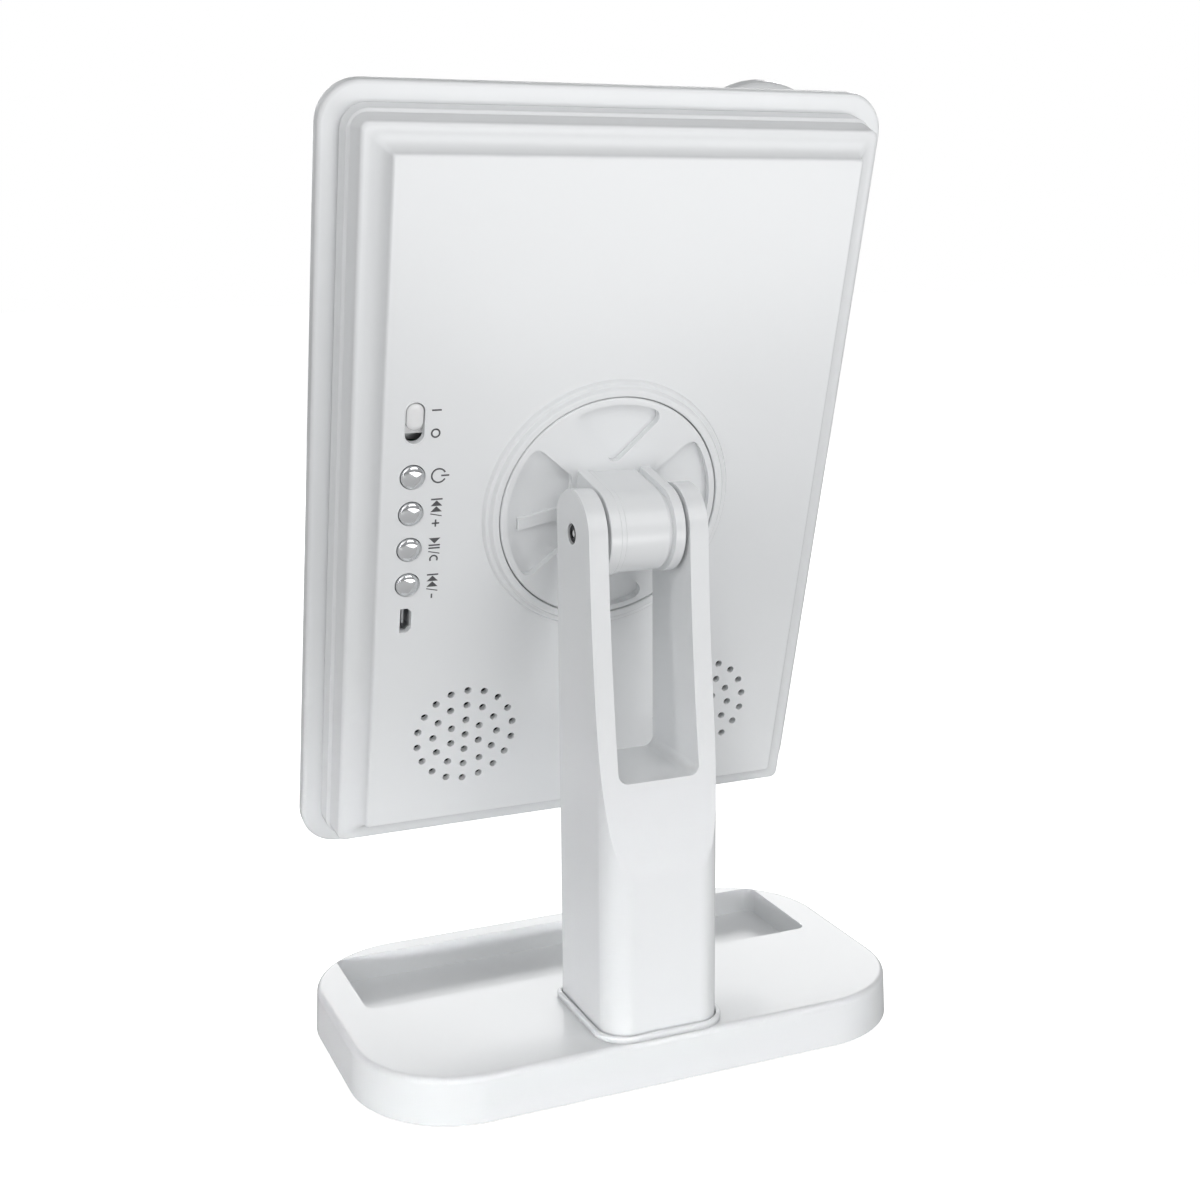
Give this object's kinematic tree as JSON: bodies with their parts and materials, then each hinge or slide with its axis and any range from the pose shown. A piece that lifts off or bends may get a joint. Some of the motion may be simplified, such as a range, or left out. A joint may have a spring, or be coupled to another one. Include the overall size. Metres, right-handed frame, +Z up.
{
  "type": "lighted vanity mirror with built-in speakers",
  "caption": "Tabletop vanity mirror on a forked post over a tray base; the head tilts and turns, with rear push buttons, a slide switch, speaker grilles and a pull-off spot mirror.",
  "frame": {"origin": "on the surface the feet rest on, under the middle of the base", "axes": "+Z up; the mirror faces -Y and the back with its controls faces +Y; X across the mirror"},
  "size_m": [0.175, 0.101, 0.2889],
  "materials": {
    "white_gloss": "glossy moulded, fine orange peel",
    "white_satin": "satin moulded",
    "chrome": "polished plating",
    "steel": "plain zinc-plated",
    "mirror": "silvered",
    "diffuser": "frosted, milky",
    "rubber": "matt",
    "black_plastic": "matt moulded",
    "circuit_board": "green solder mask",
    "light_board": "white solder mask",
    "clear_vinyl": "soft, cloudy",
    "cone_paper": "pressed fibre",
    "ferrite": "sintered, matt",
    "battery_wrap": "shrink wrap",
    "wire_red": "soft insulation"
  },
  "bodies": {
    "stand": {"base_shell": "white_gloss", "base_bottom_cover": "white_satin", "base_weight": "steel", "foot_front_left": "rubber", "foot_front_right": "rubber", "foot_rear_left": "rubber", "foot_rear_right": "rubber", "base_screw_front_left": "steel", "base_screw_front_right": "steel", "base_screw_rear_left": "steel", "base_screw_rear_right": "steel", "post": "white_gloss", "post_collar": "white_gloss", "post_screw_left": "steel", "post_screw_right": "steel", "hinge_pin": "steel", "hinge_nut": "steel", "friction_washer_left": "black_plastic", "friction_washer_right": "black_plastic"},
    "hub": {"hub_disc": "white_gloss", "hub_spring_washer": "steel", "hub_retainer": "steel", "hub_screw_1": "steel", "hub_screw_2": "steel", "hub_screw_3": "steel"},
    "head": {"rear_cover": "white_gloss", "front_bezel": "white_gloss", "mirror_glass": "mirror", "light_diffuser_left": "diffuser", "light_diffuser_right": "diffuser", "slide_switch_body": "steel", "charging_socket": "steel", "control_board": "circuit_board", "main_board": "circuit_board", "battery_pack": "battery_wrap", "light_board_left": "light_board", "light_board_right": "light_board", "battery_lead": "wire_red", "speaker_lead_left": "wire_red", "speaker_lead_right": "wire_red", "speaker_basket_left": "black_plastic", "speaker_cone_left": "cone_paper", "speaker_magnet_left": "ferrite", "speaker_basket_right": "black_plastic", "speaker_cone_right": "cone_paper", "speaker_magnet_right": "ferrite", "tact_switch_power": "black_plastic", "tact_switch_previous": "black_plastic", "tact_switch_play": "black_plastic", "tact_switch_next": "black_plastic"},
    "power_button": {"power_button": "chrome"},
    "previous_button": {"previous_button": "chrome"},
    "play_button": {"play_button": "chrome"},
    "next_button": {"next_button": "chrome"},
    "slide_knob": {"slide_knob": "white_gloss"},
    "spot_mirror": {"spot_suction_cup": "clear_vinyl", "spot_housing": "white_gloss", "spot_glass": "mirror"}
  },
  "joints": [
    {"name": "head_tilt", "type": "hinge", "parent": "stand", "child": "hub", "pos_m": [0, 0.0235, 0.1608], "axis": [1, 0, 0], "range_deg": [-75, 14.7]},
    {"name": "head_turn", "type": "hinge", "parent": "hub", "child": "head", "pos_m": [0, 0.0235, 0.1608], "axis": [0, 0.9673, -0.2538], "range_deg": [-90, 90]},
    {"name": "power_press", "type": "slide", "parent": "head", "child": "power_button", "axis": [0, -0.9673, 0.2538], "range_m": [0, 0.0008], "stiffness_N_per_m": 1500, "springref_m": -0.0003},
    {"name": "previous_press", "type": "slide", "parent": "head", "child": "previous_button", "axis": [0, -0.9673, 0.2538], "range_m": [0, 0.0008], "stiffness_N_per_m": 1500, "springref_m": -0.0003},
    {"name": "play_press", "type": "slide", "parent": "head", "child": "play_button", "axis": [0, -0.9673, 0.2538], "range_m": [0, 0.0008], "stiffness_N_per_m": 1500, "springref_m": -0.0003},
    {"name": "next_press", "type": "slide", "parent": "head", "child": "next_button", "axis": [0, -0.9673, 0.2538], "range_m": [0, 0.0008], "stiffness_N_per_m": 1500, "springref_m": -0.0003},
    {"name": "slide_switch", "type": "slide", "parent": "head", "child": "slide_knob", "axis": [0, -0.2538, -0.9673], "range_m": [0, 0.0035]},
    {"name": "spot_mirror_pull", "type": "slide", "parent": "head", "child": "spot_mirror", "axis": [0, -0.9673, 0.2538], "range_m": [0, 0.03]}
  ]
}
